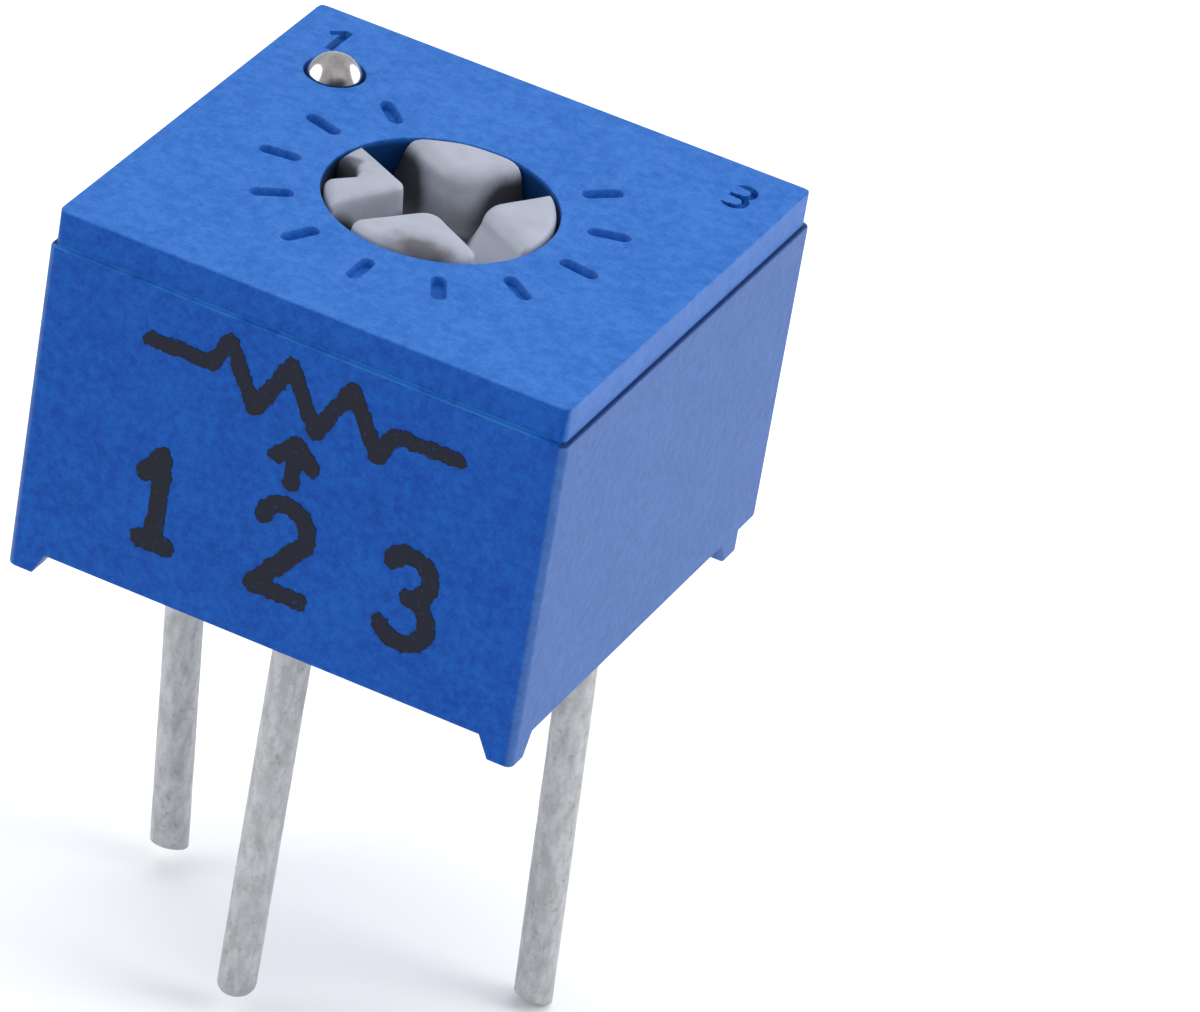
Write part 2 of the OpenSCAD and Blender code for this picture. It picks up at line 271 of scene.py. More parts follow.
def greyPlastic():
    look = {
        "light": (0.343, 0.363, 0.436),
        "dull": (0.285, 0.304, 0.362),
        "brown": (0.060, 0.055, 0.062),
        # Painted shade in the slots: the next colour deep in them, the one after it on their
        # right side
        "slotShade": (0.008, 0.009, 0.014),
        "rightShade": (0.075, 0.068, 0.090),
        # painted light: a lighter colour for the slot walls towards the right
        "litWall": (0.50, 0.52, 0.60),
        "spot": 0.3,
        "grain": 0.04,
        "dullSpots": (0.35, 0.75),
        "dullBySpot": 0.6,
        "dullLeft": (-1.3, -0.2),  # duller towards the left
        "dullByLeft": 0.4,
        "worn": (0.43, -1.31),  # the dull patch on the front lobe
        "wornFlat": 1.5,
        "wornRag": 0.5,
        "wornSpan": (0.15, 0.68),
        "wornShare": 0.9,
        "ridge": (-0.10, 0.40),  # the rear lobe's corner gets the least painted shade
        "ridgeSpan": (0.2, 0.85),
        "slotEndShade": (-0.80, -1.05),  # the outer end of the front left slot, where the painted shade starts shallower
        "slotEndSpan": (0.1, 0.45),
        "rearWay": (-0.37, 0.93),
        "rearSpan": (-0.30, 0.35),  # the painted shade in the slots is darkest behind their middle
        "rightWay": (0.87, -0.5),
        "rightSpan": (0.1, 0.7),
        "litWallSpan": (0.3, 0.5),
        "litWallDepth": (0.08, 0.3),
        "litWallShare": 0.8,
        "notchLeft": (-1.15, -1.0),
        "notchRear": (0, 0.2),
        "shadeFrom": 0.38,  # the depth at which the painted shade starts, and what raises or lowers it
        "shadeFade": 0.22,
        "shadeRag": 0.1,
        "shadeShare": 0.95,
        "atRear": 0.28,
        "atRidge": 0.13,
        "atRight": 0.16,
        "atNotch": 0.22,
        "atSlotEnd": 0.24,
        "ridgeFade": 0.42,
        "rough": 0.42,
        "roughSpot": 0.15,
        "roughShade": 0.3,
        "specular": 0.3,
    }
    f = Finish("greyPlastic")
    spot = f.noise(look["spot"], 3, 0.5)
    grain = f.noise(look["grain"], 2, 0.5)
    x, y = f.axis("X"), f.axis("Y")

    def awayFrom(name, flat=1.0):
        across = x - look[name][0]
        along = (y - look[name][1]) * flat
        return (across * across + along * along).root()

    leftness = 1 - x.between(*look["dullLeft"])
    dullness = spot.between(*look["dullSpots"]) * look["dullBySpot"]
    body = f.mix(dullness + leftness * look["dullByLeft"], look["light"], look["dull"])
    away = awayFrom("worn", look["wornFlat"]) + (spot - 0.5) * look["wornRag"]
    worn = (1 - away.between(*look["wornSpan"])) * look["wornShare"]
    body = f.mix(worn, body, look["brown"])

    depth = rotorFace - f.axis("Z") + (spot - 0.5) * look["shadeRag"]
    rear = (y * look["rearWay"][1] + x * look["rearWay"][0]).between(*look["rearSpan"])
    across = x * look["rightWay"][0] + y * look["rightWay"][1]
    right = across.between(*look["rightSpan"])
    # Painted light on the slot walls towards the right, below the top
    litWall = across.between(*look["litWallSpan"]) * depth.between(*look["litWallDepth"])
    body = f.mix(litWall * look["litWallShare"], body, look["litWall"])
    ridgeLit = 1 - awayFrom("ridge").between(*look["ridgeSpan"])
    notch = (1 - x.between(*look["notchLeft"])) * (1 - y.between(*look["notchRear"]))
    slotEndShade = 1 - awayFrom("slotEndShade").between(*look["slotEndSpan"])
    # Painted shade deep in the slots: it starts shallower behind their middle, in the notch and
    # at the front left slot's end, and deeper on the right and at the rear lobe's corner
    start = look["shadeFrom"] - rear * (look["atRear"] - ridgeLit * look["atRidge"])
    start = start + right * look["atRight"] - notch * look["atNotch"] - slotEndShade * look["atSlotEnd"]
    slotShade = depth.between(start, start + look["shadeFade"] + rear * ridgeLit * look["ridgeFade"])
    body = f.mix(slotShade * look["shadeShare"], body, f.mix(right, look["slotShade"], look["rightShade"]))
    rough = look["rough"] + spot * look["roughSpot"] + slotShade * look["roughShade"]
    f.shape(Base_Color=body, Roughness=rough, Specular_IOR_Level=look["specular"])
    f.bump((spot, 0.012, 0.25), (grain, 0.004, 0.25))
    return f.material


def tinnedWire():
    look = {
        "bright": (0.480, 0.490, 0.505),
        "dull": (0.345, 0.355, 0.360),
        "speck": (0.20, 0.21, 0.185),
        "mottle": 0.13,
        "mottleStretch": (1, 1, 0.4),
        "mottleSpan": (0.32, 0.68),
        "speckle": 0.08,
        "speckleSpan": (0.55, 0.80),
        "speckleShare": 0.6,
        "metal": 0.45,
        "metalMottle": 0.2,
        "rough": 0.42,
        "roughSpeckle": 0.25,
    }
    f = Finish("tinnedWire")
    mottle = f.noise(look["mottle"], 3, 0.6, look["mottleStretch"])
    speckle = f.noise(look["speckle"], 2, 0.6)
    body = f.mix(mottle.between(*look["mottleSpan"]), look["dull"], look["bright"])
    specks = speckle.between(*look["speckleSpan"]) * look["speckleShare"]
    body = f.mix(specks, body, look["speck"])
    f.shape(Base_Color=body, Metallic=look["metal"] - mottle * look["metalMottle"])
    f.shape(Roughness=look["rough"] + speckle * look["roughSpeckle"])
    f.bump((mottle, 0.015, 0.35), (speckle, 0.006, 0.4))
    return f.material


def steelBall():
    look = {
        "deep": (0.37, 0.35, 0.35),
        "pale": (0.50, 0.475, 0.485),
        # painted reflection: a dark spot low on the ball's front, where the ball is not metal
        "darkReflection": (0.015, 0.016, 0.025),
        "reflectionFrom": (0.18, -0.33, 0.10),  # from the ball's centre
        "reflectionSpan": (0.07, 0.20),
        "reflectionRag": 0.12,
        "metalSpan": (0.06, 0.14),
        "spot": 0.2,
        "spotSpan": (0.35, 0.65),
        "rough": 0.12,
        "roughSpot": 0.1,
    }
    f = Finish("steelBall")
    spot = f.noise(look["spot"], 3, 0.55)
    around = ballAt + Vector(look["reflectionFrom"])
    gaps = [f.axis(name) - around[i] for i, name in enumerate("XYZ")]
    away = sum(gap * gap for gap in gaps).root() + (spot - 0.5) * look["reflectionRag"]
    body = f.mix(spot.between(*look["spotSpan"]), look["deep"], look["pale"])
    # Painted dark reflection low on the ball's front
    body = f.mix(1 - away.between(*look["reflectionSpan"]), body, look["darkReflection"])
    f.shape(Base_Color=body, Metallic=away.between(*look["metalSpan"]))
    f.shape(Roughness=look["rough"] + spot * look["roughSpot"])
    f.bump((spot, 0.002, 0.4))
    return f.material


def blackInk():
    look = {
        "ink": (0.004, 0.006, 0.017),
        "wornInk": (0.008, 0.03, 0.115),
        "worn": 0.07,
        "wornSpan": (0.56, 0.74),
        "rough": 0.5,
        "roughWorn": 0.2,
        "specular": 0.2,
    }
    f = Finish("blackInk")
    worn = f.noise(look["worn"], 3, 0.65)
    body = f.mix(worn.between(*look["wornSpan"]), look["ink"], look["wornInk"])
    f.shape(Base_Color=body, Roughness=look["rough"] + worn * look["roughWorn"])
    f.shape(Specular_IOR_Level=look["specular"])
    f.bump((worn, 0.006, 0.4))
    return f.material


innerLooks = {  # two colours, the size of a spot, roughness, then metal, depth of bump and coat
    "sealRubber": ((0.40, 0.06, 0.03), (0.52, 0.10, 0.05), 0.1, 0.45),
    "springAlloy": ((0.70, 0.48, 0.20), (0.82, 0.62, 0.32), 0.12, 0.25, 1.0, 0.002),
    "alumina": ((0.78, 0.77, 0.72), (0.88, 0.87, 0.83), 0.06, 0.6),
    "cermet": ((0.015, 0.014, 0.013), (0.04, 0.037, 0.035), 0.03, 0.45),
    "silverInk": ((0.50, 0.49, 0.46), (0.64, 0.63, 0.60), 0.05, 0.5, 0.8, 0.004),
    "solder": ((0.56, 0.56, 0.57), (0.68, 0.68, 0.69), 0.1, 0.28, 1.0, 0.004),
    "pottingResin": ((0.010, 0.035, 0.17), (0.018, 0.06, 0.26), 0.6, 0.3, 0, 0.02, 0.3),
}


def innerFinish(name, low, high, size, rough, metallic=0.0, depth=0.006, coat=0.0):
    f = Finish(name)
    spot = f.noise(size, 3, 0.55)
    f.shape(Base_Color=f.mix(spot.between(0.35, 0.65), low, high), Metallic=metallic)
    f.shape(Roughness=rough + (spot - 0.5) * 0.2, Coat_Weight=coat)
    f.bump((f.noise(size * 0.4, 2, 0.5), depth, 0.4))
    return f.material


finishes = {
    "bluePlastic": bluePlastic(),
    "greyPlastic": greyPlastic(),
    "tinnedWire": tinnedWire(),
    "steelBall": steelBall(),
    "blackInk": blackInk(),
}
finishes.update({name: innerFinish(name, *values) for name, values in innerLooks.items()})
print("finishes ready:", len(finishes))


# Mesh helpers

touch = 0.0005  # points this close are one
near = 0.002  # heights this close are equal
up = Vector((0, 0, 1))


def mergedCopy(node):  # a CAD node as clean flat faces
    bm = bmesh.new()
    bm.from_mesh(nodes[node].data)
    bmesh.ops.scale(bm, vec=Vector((1, 1, 1)) / mm, verts=bm.verts)
    bmesh.ops.remove_doubles(bm, verts=bm.verts, dist=touch)
    flat = math.radians(0.5)
    bmesh.ops.dissolve_limit(bm, angle_limit=flat, verts=bm.verts, edges=bm.edges)
    return bm


def everything(bm):
    return bm.verts[:] + bm.edges[:] + bm.faces[:]


def middle(edge):
    return (edge.verts[0].co + edge.verts[1].co) / 2


def sharpEdges(bm, wanted, angle=25):  # the convex edges that pass the test
    found = []
    for edge in bm.edges:
        if len(edge.link_faces) == 2 and edge.is_convex:
            if edge.calc_face_angle() > math.radians(angle) and wanted(edge):
                found.append(edge)
    return found


def roundEdges(bm, edges, radius, segments):
    bmesh.ops.bevel(bm, geom=edges, offset=radius, offset_type="OFFSET", segments=segments,
                    profile=0.5, affect="EDGES", clamp_overlap=True, loop_slide=True, material=-1)


def refineRound(bm, centre, radius, cuts=3, slack=0.012):  # more sides for a round wall
    centre = Vector(centre)

    def onWall(vert):
        return abs((vert.co.xy - centre).length - radius) < slack

    chords = []
    for edge in bm.edges:
        a, b = edge.verts
        if onWall(a) and onWall(b) and abs(a.co.z - b.co.z) < near / 2:
            chords.append(edge)
    made = bmesh.ops.subdivide_edges(bm, edges=chords, cuts=cuts)["geom_inner"]
    for vert in made:
        if isinstance(vert, bmesh.types.BMVert):
            vert.co.xy = centre + (vert.co.xy - centre).normalized() * radius


def cutFlat(bm, isFlat, planes):  # a flat with holes becomes faces without any
    def onPlane(edge):
        for at, way in planes:
            if all(abs((v.co - at).dot(way)) < near / 2 for v in edge.verts):
                return True
        return False

    for at, way in planes:
        flat = [f for f in bm.faces if isFlat(f)]
        around = {v for f in flat for v in f.verts} | {e for f in flat for e in f.edges}
        bmesh.ops.bisect_plane(bm, geom=flat + list(around), dist=touch / 5,
                               plane_co=at, plane_no=way)
    seams = []
    for edge in bm.edges:
        sides = edge.link_faces
        if len(sides) == 2 and isFlat(sides[0]) and isFlat(sides[1]) and not onPlane(edge):
            seams.append(edge)
    bmesh.ops.dissolve_edges(bm, edges=seams)


def keepPiece(name, bm, body, finish, standsFor=(), smooth=40):
    bmesh.ops.scale(bm, vec=Vector((mm, mm, mm)), verts=bm.verts)
    mesh = bpy.data.meshes.new(name)
    bm.to_mesh(mesh)
    bm.free()
    mesh.shade_smooth()
    mesh.set_sharp_from_angle(angle=math.radians(smooth))
    mesh.materials.append(finishes[finish])
    piece = bpy.data.objects.new(name, mesh)
    bpy.context.scene.collection.objects.link(piece)
    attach(piece, body)
    if standsFor:
        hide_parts(*standsFor)
    print("piece", name, len(mesh.polygons), "faces")
    return piece


# Case

caseShape = {
    "corner": 0.10,  # radii of the rounded edges
    "rim": 0.13,
    "ledge": 0.03,
    "markLip": 0.03,
    "holeLip": 0.03,
    "ventLip": 0.03,
    "foot": 0.04,
    "footTop": 0.31,
    "band": 0.48,
    "skin": 0.06,  # how far in an outer edge may lie
    "cornerFrom": (3.3, 3.2),
    "hole": 1.47,  # radii and place of the two holes
    "ventAt": (-2.49, 1.89),
    "vent": 0.39,
    "lipSlack": 0.02,
    "clear": 0.1,  # from the hole and the vent to the marks
    "dialReach": 2.6,
    "marks": 11,
    "firstMark": -225,
    "markStep": 27,
    "markFloor": 0.2,  # no floor is deeper
    "leastDepth": 0.01,
    "floorScale": (0.9, 0.65, 1),  # a mark's floor is narrower than its mouth
    "floorRise": 0.01,
    "ledgeCuts": ((3.2, 0, 0), (-3.2, 0, 0), (0, 3, 0), (0, -3, 0)),  # points on each plane
    "tinyEdge": 0.006,  # shorter ones are merged
    "flatArea": 0.5,  # square millimetres
    "flatStrength": 16384,  # the modifier's own number for a strong face
}


def level(edge, z):
    return all(abs(v.co.z - z) < near for v in edge.verts)


def upright(edge):
    return (edge.verts[0].co - edge.verts[1].co).xy.length < near


def facesUp(face):
    return face.normal.z > 0.99


def isOutside(edge):
    at = middle(edge)
    skin = caseShape["skin"]
    return abs(at.x) > caseHigh.x - skin or abs(at.y) > caseHigh.y - skin


def isCorner(edge):
    at = middle(edge)
    fromX, fromY = caseShape["cornerFrom"]
    return upright(edge) and isOutside(edge) and abs(at.x) > fromX and abs(at.y) > fromY


def fromHole(edge):
    return abs(middle(edge).xy.length - caseShape["hole"])


def fromVent(edge):
    s = caseShape
    return abs((middle(edge).xy - Vector(s["ventAt"])).length - s["vent"])


def isMark(edge):
    s = caseShape
    inDial = s["hole"] + s["clear"] < middle(edge).xy.length < s["dialReach"]
    return inDial and fromVent(edge) > s["clear"]


def isSunk(face):  # the floors of the marks and numbers
    s = caseShape
    z = face.calc_center_median().z
    return facesUp(face) and topZ - s["markFloor"] < z < topZ - s["leastDepth"]


def shrinkFloors(bm):
    s = caseShape
    for face in [f for f in bm.faces if isSunk(f)]:
        at = face.calc_center_median()
        if at.xy.length < s["dialReach"]:
            outwards = Matrix.Translation(at) @ Matrix.Rotation(math.atan2(at.y, at.x), 4, "Z")
            bmesh.ops.scale(bm, vec=s["floorScale"], space=outwards.inverted(), verts=face.verts)
        bmesh.ops.translate(bm, vec=(0, 0, s["floorRise"]), verts=face.verts)


def buildCase():
    s = caseShape
    bm = mergedCopy("housing")
    refineRound(bm, (0, 0), s["hole"])
    refineRound(bm, s["ventAt"], s["vent"])
    upper = [v for v in bm.verts if v.co.z > topZ - s["markFloor"]]
    bmesh.ops.remove_doubles(bm, verts=upper, dist=s["tinyEdge"])  # they would hold bevels back
    ledgeZ = topZ - s["band"]

    def isLevelFace(z):
        return lambda face: facesUp(face) and abs(face.calc_center_median().z - z) < near

    ledgeCuts = [(Vector(at), Vector(at).normalized()) for at in s["ledgeCuts"]]
    turns = [math.radians(s["firstMark"] + s["markStep"] * i) for i in range(s["marks"])]
    topCuts = [(Vector(), Vector((-math.sin(turn), math.cos(turn), 0))) for turn in turns]
    cutFlat(bm, isLevelFace(ledgeZ), ledgeCuts)
    cutFlat(bm, isLevelFace(topZ), topCuts)
    shrinkFloors(bm)

    roundings = (  # in this order, because each one changes what the next finds
        (s["corner"], 4, isCorner),
        (s["rim"], 4, lambda e: level(e, topZ) and isOutside(e)),
        (s["ledge"], 2, lambda e: level(e, ledgeZ) and isOutside(e)),
        (s["markLip"], 2, lambda e: level(e, topZ) and isMark(e)),
        (s["holeLip"], 3, lambda e: level(e, topZ) and fromHole(e) < s["lipSlack"]),
        (s["ventLip"], 3, lambda e: level(e, topZ) and fromVent(e) < s["lipSlack"]),
        (s["foot"], 3, lambda e: middle(e).z < s["footTop"] and isOutside(e)),
    )
    for radius, segments, wanted in roundings:
        roundEdges(bm, sharpEdges(bm, wanted), radius, segments)
    bmesh.ops.dissolve_degenerate(bm, dist=touch, edges=bm.edges)

    # The modifier reads these strengths, so that flats stay evenly lit up to their rounded edges
    strength = bm.faces.layers.int.new("__mod_weightednormals_faceweight")
    for face in bm.faces:
        if face.calc_area() > s["flatArea"]:
            face[strength] = s["flatStrength"]
    piece = keepPiece("case", bm, "case", "bluePlastic", ["housing"])
    flats = piece.modifiers.new("keepFlats", "WEIGHTED_NORMAL")
    flats.mode = "CORNER_ANGLE"
    flats.keep_sharp = True
    flats.use_face_influence = True


buildCase()


# Rotor

rotorShape = {
    "radius": 1.42,
    "rings": 96,
    "turns": 384,
    "neckCut": 4.2,  # below this it keeps its turned neck and flange
    "aboveCut": 0.01,
    "slotTurn": 60,  # degrees
    "slotHalf": 0.29,
    "slotDepth": 0.68,
    "pointer": 192,  # degrees
    "notchFrom": 1.06,
    "notchTip": 0.08,
    "notchHalf": 0.33,
    "notchDepth": 0.6,
    "notchEdge": (0.06, 0.10),
    "rim": 0.13,
    "rimWall": 0.1,
    "crown": 0.04,
    "lobes": {  # by side of each slot: two corners in plan, the top edge and spread of the wall
        (True, True): {
            "corner": 0.36, "outer": 0.06, "edge": 0.26, "wall": 0.24, "lean": 0, "narrow": 0.07,
        },
        (False, True): {
            "corner": 0.15, "outer": 0.04, "edge": 0.10, "wall": 0.10, "lean": 0, "narrow": 0,
        },
        (False, False): {
            "corner": 0.20, "outer": 0.20, "edge": 0.10, "wall": 0.12, "lean": 0.2, "narrow": 0,
        },
        (True, False): {
            "corner": 0.32, "outer": 0.16, "edge": 0.25, "wall": 0.27, "lean": 0, "narrow": 0,
        },
    },
    "waves": 0.012,
    "wavesPerMm": 2.3,
    "waveSeed": 5,
}


def edgeDrop(gap, edge, wall, depth):  # how far the surface has sunk at a gap from an edge
    if gap >= edge:
        return 0
    if gap > 0:
        return edge - math.sqrt(edge * edge - (edge - gap) ** 2)
    share = min(1, -gap / wall)
    return edge + (depth - edge) * share * (2 - share)


def turned(point, degrees):
    t = math.radians(degrees)
    along = point.x * math.cos(t) + point.y * math.sin(t)
    across = point.y * math.cos(t) - point.x * math.sin(t)
    return Vector((along, across))


def slotDrop(point, inset):
    s = rotorShape
    slots = turned(point, s["slotTurn"])
    lobe = s["lobes"][slots.x > 0, slots.y > 0]
    corner, outer, edge, wall = lobe["corner"], lobe["outer"], lobe["edge"], lobe["wall"]
    gaps = [abs(v) - s["slotHalf"] for v in slots]
    gaps[0] -= lobe["narrow"]
    gaps[1] += lobe["lean"] * max(0, gaps[0])
    gap = min(gaps)
    if gap < corner:
        gap = corner - math.hypot(*(max(0, corner - g) for g in gaps))
    drop = edgeDrop(gap, edge, wall, s["slotDepth"])
    if max(gap, inset) < outer:
        gap = outer - math.hypot(outer - gap, outer - inset)
        drop = max(drop, edgeDrop(gap, min(edge, s["rim"]), wall, s["slotDepth"]))
    return drop


def notchDrop(point):
    s = rotorShape
    along, across = turned(point, s["pointer"])
    widen = (s["notchHalf"] - s["notchTip"]) / (s["radius"] - s["notchFrom"])
    limit = s["notchTip"] + (along - s["notchFrom"]) * widen
    out = s["notchFrom"] - along
    side = (abs(across) - limit) / math.hypot(1, widen)
    gap = math.hypot(max(0, out), max(0, side)) or max(out, side)
    return edgeDrop(gap, *s["notchEdge"], s["notchDepth"])


def faceHeight(point):
    s = rotorShape
    inset = s["radius"] - point.length
    rim = edgeDrop(inset, s["rim"], s["rimWall"], s["rim"])
    drop = max(slotDrop(point, inset), notchDrop(point), rim)
    drop += s["crown"] * point.length_squared / s["radius"] ** 2
    wave = noise.noise(Vector((*point * s["wavesPerMm"], s["waveSeed"])))
    return rotorFace - drop + wave * s["waves"]


def buildRotor():
    s = rotorShape
    bm = mergedCopy("rotor")
    cutAt = Vector((0, 0, s["neckCut"]))
    above = s["neckCut"] + s["aboveCut"]
    cut = bmesh.ops.bisect_plane(bm, geom=everything(bm), dist=touch / 5,
                                 plane_co=cutAt, plane_no=up, clear_outer=True)
    neck = [g for g in cut["geom_cut"] if isinstance(g, bmesh.types.BMEdge)]

    centre = bm.verts.new((0, 0, rotorFace))
    outer = bm.verts.new((s["radius"] - touch, 0, rotorFace))
    spoke = bm.edges.new((centre, outer))
    bmesh.ops.subdivide_edges(bm, edges=[spoke], cuts=s["rings"] - 1)
    line = [v for v in bm.verts if not v.link_faces]
    line += list({e for v in line for e in v.link_edges})
    bmesh.ops.spin(bm, geom=line, cent=(0, 0, 0), axis=up, angle=math.tau, steps=s["turns"],
                   use_merge=True)
    top = [v for v in bm.verts if v.co.z > above]
    bmesh.ops.remove_doubles(bm, verts=top, dist=touch / 10)
    for vert in bm.verts:
        if vert.co.z > above:
            vert.co.z = faceHeight(vert.co.xy)

    rim = [e for e in bm.edges if e.is_boundary and middle(e).z > above]
    grown = bmesh.ops.extrude_edge_only(bm, edges=rim)["geom"]
    for vert in grown:
        if isinstance(vert, bmesh.types.BMVert):
            vert.co.z = s["neckCut"]
    low = [e for e in grown if isinstance(e, bmesh.types.BMEdge) and e.is_boundary]
    bmesh.ops.bridge_loops(bm, edges=low + neck)
    bmesh.ops.recalc_face_normals(bm, faces=bm.faces)
    keepPiece("rotorScrew", bm, "rotor_set", "greyPlastic", ["rotor"])


buildRotor()


# Vent ball

ballShape = {
    "subdivisions": 4,
    "smooth": 180,
}


def buildBall():
    low, high = boxMm("vent_ball")
    bm = bmesh.new()
    bmesh.ops.create_icosphere(bm, subdivisions=ballShape["subdivisions"],
                               radius=(high.z - low.z) / 2)
    bmesh.ops.translate(bm, vec=ballAt, verts=bm.verts)
    keepPiece("ventBall", bm, "case", "steelBall", ["vent_ball"], ballShape["smooth"])


buildBall()


# Leads

leadShape = {
    "sides": 32,
    "gripRadius": 0.285,  # where the potting holds the wire
    "gripEnd": 0.24,
    "bendTop": 1.25,
    "bendLow": 0.77,
    "step": 0.12,
    "cutRoom": 0.3,
    "spare": 0.25,  # the wire is made this much longer, then cut
    "dent": 0.02,
    "dentsPerMm": 2.1,
    "dentSeed": (7, 3, 1),
    "smooth": 50,
    "ends": {  # where each wire starts, the slope of its cut end and the radius of that end's rim
        "lead_1": {"start": (-2.54, 0), "cut": (0.05, -0.30), "rim": 0.04},
        "lead_2": {"start": (0, -2.54), "cut": (0.0, 0.10), "rim": 0.12},
        "lead_3": {"start": (2.54, 0), "cut": (-0.05, -0.40), "rim": 0.04},
    },
}


def leadStations(node):  # the points that the wire runs through, from the top down
    s = leadShape
    start = s["ends"][node]["start"]
    mount = mounts[node]
    pin = Vector(mount["pos_m"]) / mm
    down = Vector(mount["axis"])
    low, high = boxMm(node)
    bend = pin + down * (s["bendLow"] / down.z)
    tip = pin + down * (low.z / down.z)
    stations = [Vector((*start, high.z)), Vector((*start, s["bendTop"])), bend]
    count = round((bend - tip).length / s["step"])
    straight = [bend.lerp(tip, (i + 1) / count) for i in range(count)]
    stations += [at for at in straight if (at - tip).length > s["cutRoom"]]
    stations.append(tip + (tip - bend).normalized() * s["spare"])
    return stations, tip


def cutTip(bm, tip, end):
    slope = Vector((*end["cut"], -1)).normalized()
    cut = bmesh.ops.bisect_plane(bm, geom=everything(bm), dist=touch / 5,
                                 plane_co=tip, plane_no=slope, clear_outer=True)
    rim = [g for g in cut["geom_cut"] if isinstance(g, bmesh.types.BMEdge)]
    bmesh.ops.contextual_create(bm, geom=rim)
    roundEdges(bm, rim, end["rim"], 4)


def buildLead(node):
    s = leadShape
    radius = mounts[node]["dims"]["r_mm"]
    stations, tip = leadStations(node)
    bm = bmesh.new()
    bmesh.ops.create_circle(bm, segments=s["sides"], radius=1)
    bmesh.ops.contextual_create(bm, geom=bm.edges[:])
    rim = bm.edges[:]
    heading = -up
    turn = Matrix.Identity(3)
    place = Matrix.Identity(4)
    for i, at in enumerate(stations):
        ahead = stations[min(i + 1, len(stations) - 1)] - stations[max(i - 1, 0)]
        turn = heading.rotation_difference(ahead).to_matrix() @ turn
        heading = ahead.normalized()
        size = s["gripRadius"] if at.z > s["gripEnd"] else radius
        wave = 1 + s["dent"] * noise.noise(at * s["dentsPerMm"] + Vector(s["dentSeed"]))
        oval = Matrix.Diagonal((size * wave, size / wave, 1))
        target = Matrix.Translation(at) @ (turn @ oval).to_4x4()
        if i:
            grown = bmesh.ops.extrude_edge_only(bm, edges=rim)["geom"]
            rim = [g for g in grown if isinstance(g, bmesh.types.BMEdge) and g.is_boundary]
        ring = list({v for e in rim for v in e.verts})
        bmesh.ops.transform(bm, matrix=target @ place.inverted(), verts=ring)
        place = target
    cutTip(bm, tip, s["ends"][node])
    bmesh.ops.recalc_face_normals(bm, faces=bm.faces)
    name = node.replace("_", "")
    keepPiece(name, bm, "case", "tinnedWire", [node], s["smooth"])


for node in leadShape["ends"]:
    buildLead(node)


# Print on the front: a variable resistor's symbol over the numbers of its three terminals

printShape = {
    "cell": 0.026,
    "proud": 0.008,
    "sunk": 0.004,
    "rag": 0.032,
    "ragCoarse": 9,  # waves per mm
    "ragFine": 23,
    "ragFineShare": 0.6,
    "smoothings": 3,
    "smooth": 30,
    "digitHeight": 1.5,
    "digitWidth": 0.9,
    "digitStroke": 0.27,
    "symbolStroke": 0.24,
    "digitFoot": 0.98,
    "digitAt": (-1.6, 0.1, 1.8),
    "symbolMiddle": 3.86,
    "symbolEnds": (-1.98, 2.18),
    "zigzagEnds": (-1.15, 1.35),
    "zigzagHeight": 0.38,
    "peaks": 3,
    "arrowFoot": 2.66,
    "arrowTip": 3.22,
    "arrowHead": 0.24,
    "arcSteps": 14,
}


def arcPoints(centre, radius, start, stop):  # angles in degrees
    count = printShape["arcSteps"]
    turns = [math.radians(start + (stop - start) * i / count) for i in range(count + 1)]
    x, y = centre
    return [Vector((x + radius * math.cos(t), y + radius * math.sin(t))) for t in turns]


def digitOne(w, h):
    return [[Vector((0, 0)), Vector((0, h)), Vector((-0.34 * w, h - 0.3))],
            [Vector((-0.3 * w, 0)), Vector((0.3 * w, 0))]]


def digitTwo(w, h):
    r = w / 2
    return [arcPoints((0, h - r), r, 165, -35) + [Vector((-r, 0)), Vector((r, 0))]]


def digitThree(w, h):
    top, low = h * 0.235, h * 0.265
    return [arcPoints((0, h - top), top, 150, -80), arcPoints((0, low), low, 85, -150)]


def digitStrokes():
    s = printShape
    w = s["digitWidth"] - s["digitStroke"]
    h = s["digitHeight"] - s["digitStroke"]
    strokes = []
    for at, digit in zip(s["digitAt"], (digitOne, digitTwo, digitThree)):
        corner = Vector((at, s["digitFoot"] + s["digitStroke"] / 2))
        strokes += [[corner + point for point in line] for line in digit(w, h)]
    return strokes


def symbolStrokes():
    s = printShape
    z = s["symbolMiddle"]
    left, right = s["zigzagEnds"]
    steps = 4 * s["peaks"]
    wave = []
    for i in range(steps + 1):
        if i % 2 or i in (0, steps):
            height = s["zigzagHeight"] * (0, 1, 0, -1)[i % 4]
            wave.append(Vector((left + (right - left) * i / steps, z + height)))
    start, stop = (Vector((x, z)) for x in s["symbolEnds"])
    middleX = s["digitAt"][1]
    foot = Vector((middleX, s["arrowFoot"]))
    tip = Vector((middleX, s["arrowTip"]))
    head = s["arrowHead"]
    barbs = [tip + Vector((-head, -head)), tip, tip + Vector((head, -head))]
    return [[start] + wave + [stop], [foot, tip], barbs]


def gapTo(point, strokes):  # how far a point is from the nearest line
    gaps = []
    for line in strokes:
        for a, b in zip(line, line[1:]):
            along = b - a
            share = min(1, max(0, (point - a).dot(along) / along.length_squared))
            gaps.append((point - a - along * share).length)
    return min(gaps)


